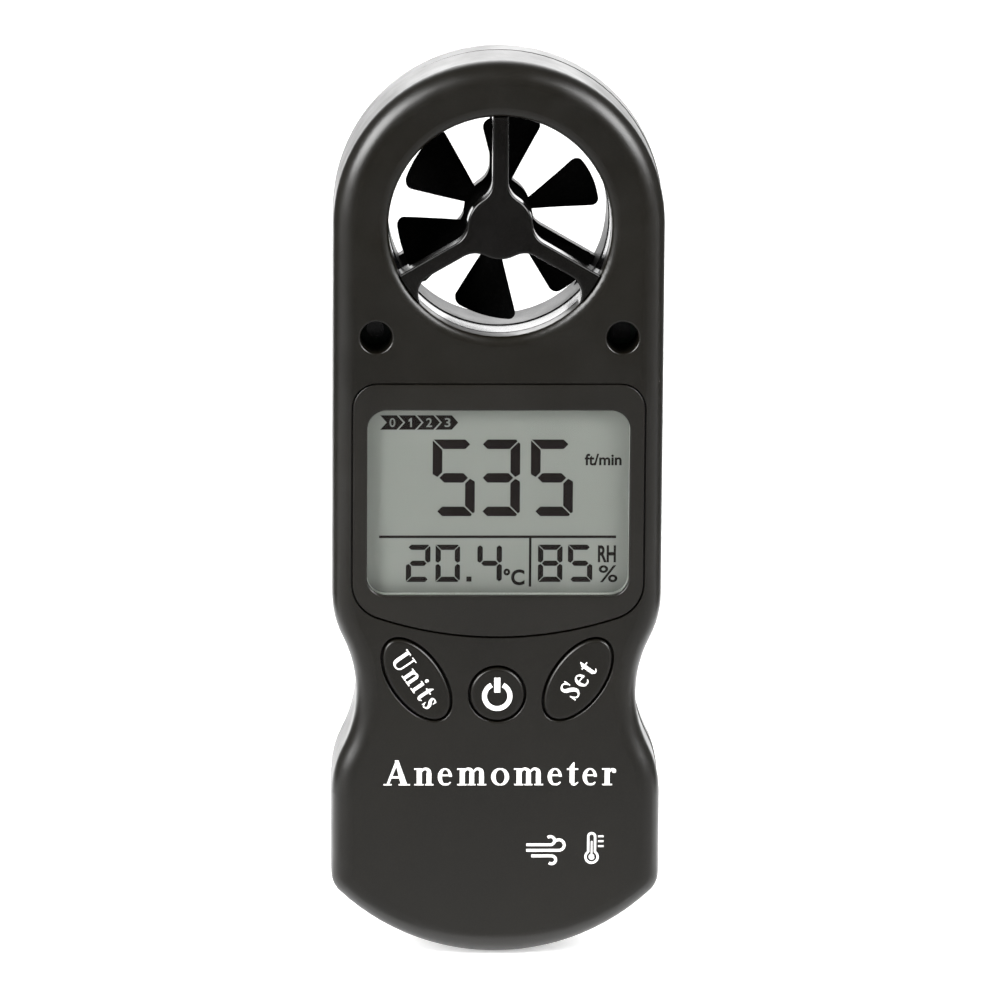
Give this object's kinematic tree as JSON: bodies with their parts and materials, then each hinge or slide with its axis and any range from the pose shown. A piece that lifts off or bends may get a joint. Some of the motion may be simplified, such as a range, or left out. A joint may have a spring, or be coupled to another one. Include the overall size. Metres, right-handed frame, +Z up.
{
  "type": "vane anemometer",
  "caption": "Hand-held vane anemometer with a guarded impeller in its round head, a liquid-crystal display, round and oval keys, sensor ports and a waisted grip.",
  "frame": {"origin": "on the level of the lowest point of the body, under the middle of its width and thickness", "axes": "+Z up along the body towards the vane, +X to the reader's right, +Y from the display towards the back"},
  "size_m": [0.0486, 0.0192, 0.1336],
  "materials": {
    "housing_abs": "satin",
    "guard_abs": "satin",
    "vane_abs": "satin",
    "key_rubber": "matte",
    "panel_plastic": "satin",
    "clear_window": "polished",
    "lcd": "satin",
    "white_plastic": "satin",
    "contact_rubber": "matte",
    "board_laminate": "satin",
    "chip_epoxy": "matte",
    "steel": "satin",
    "bright_steel": "polished",
    "magnet_ferrite": "matte",
    "bearing_plastic": "satin",
    "bead_resin": "gloss"
  },
  "bodies": {
    "case": {"front_housing": "housing_abs", "rear_housing": "housing_abs", "front_guard": "guard_abs", "rear_guard": "guard_abs", "front_bearing": "bearing_plastic", "rear_bearing": "bearing_plastic", "vane_sensor": "chip_epoxy", "display_panel": "panel_plastic", "display_window": "clear_window", "lcd_glass": "lcd", "lcd_frame": "white_plastic", "backlight_diffuser": "white_plastic", "contact_strips": "contact_rubber", "backlight_led": "white_plastic", "main_board": "board_laminate", "processor_chip": "chip_epoxy", "clock_crystal": "bright_steel", "board_components": "chip_epoxy", "tact_switches": "chip_epoxy", "temperature_sensor": "bead_resin", "humidity_sensor": "chip_epoxy", "coin_cell": "bright_steel", "negative_contact": "steel", "positive_contact": "steel", "housing_screws": "steel"},
    "rotor": {"impeller": "vane_abs", "impeller_shaft": "steel", "rotor_magnet": "magnet_ferrite"},
    "units_key": {"units_button": "key_rubber", "units_plunger": "white_plastic"},
    "power_key": {"power_button": "key_rubber", "power_plunger": "white_plastic"},
    "set_key": {"set_button": "key_rubber", "set_plunger": "white_plastic"},
    "door": {"battery_door": "housing_abs"}
  },
  "joints": [
    {"name": "impeller_spin", "type": "hinge", "parent": "case", "child": "rotor", "pos_m": [0, 0, 0.1094], "axis": [0, 1, 0], "continuous": true},
    {"name": "units_press", "type": "slide", "parent": "case", "child": "units_key", "axis": [0, 1, 0], "range_m": [0, 0.0005], "stiffness_N_per_m": 1500},
    {"name": "power_press", "type": "slide", "parent": "case", "child": "power_key", "axis": [0, 1, 0], "range_m": [0, 0.0005], "stiffness_N_per_m": 1500},
    {"name": "set_press", "type": "slide", "parent": "case", "child": "set_key", "axis": [0, 1, 0], "range_m": [0, 0.0005], "stiffness_N_per_m": 1500},
    {"name": "battery_door_slide", "type": "slide", "parent": "case", "child": "door", "axis": [0, 0, -1], "range_m": [0, 0.034]}
  ]
}
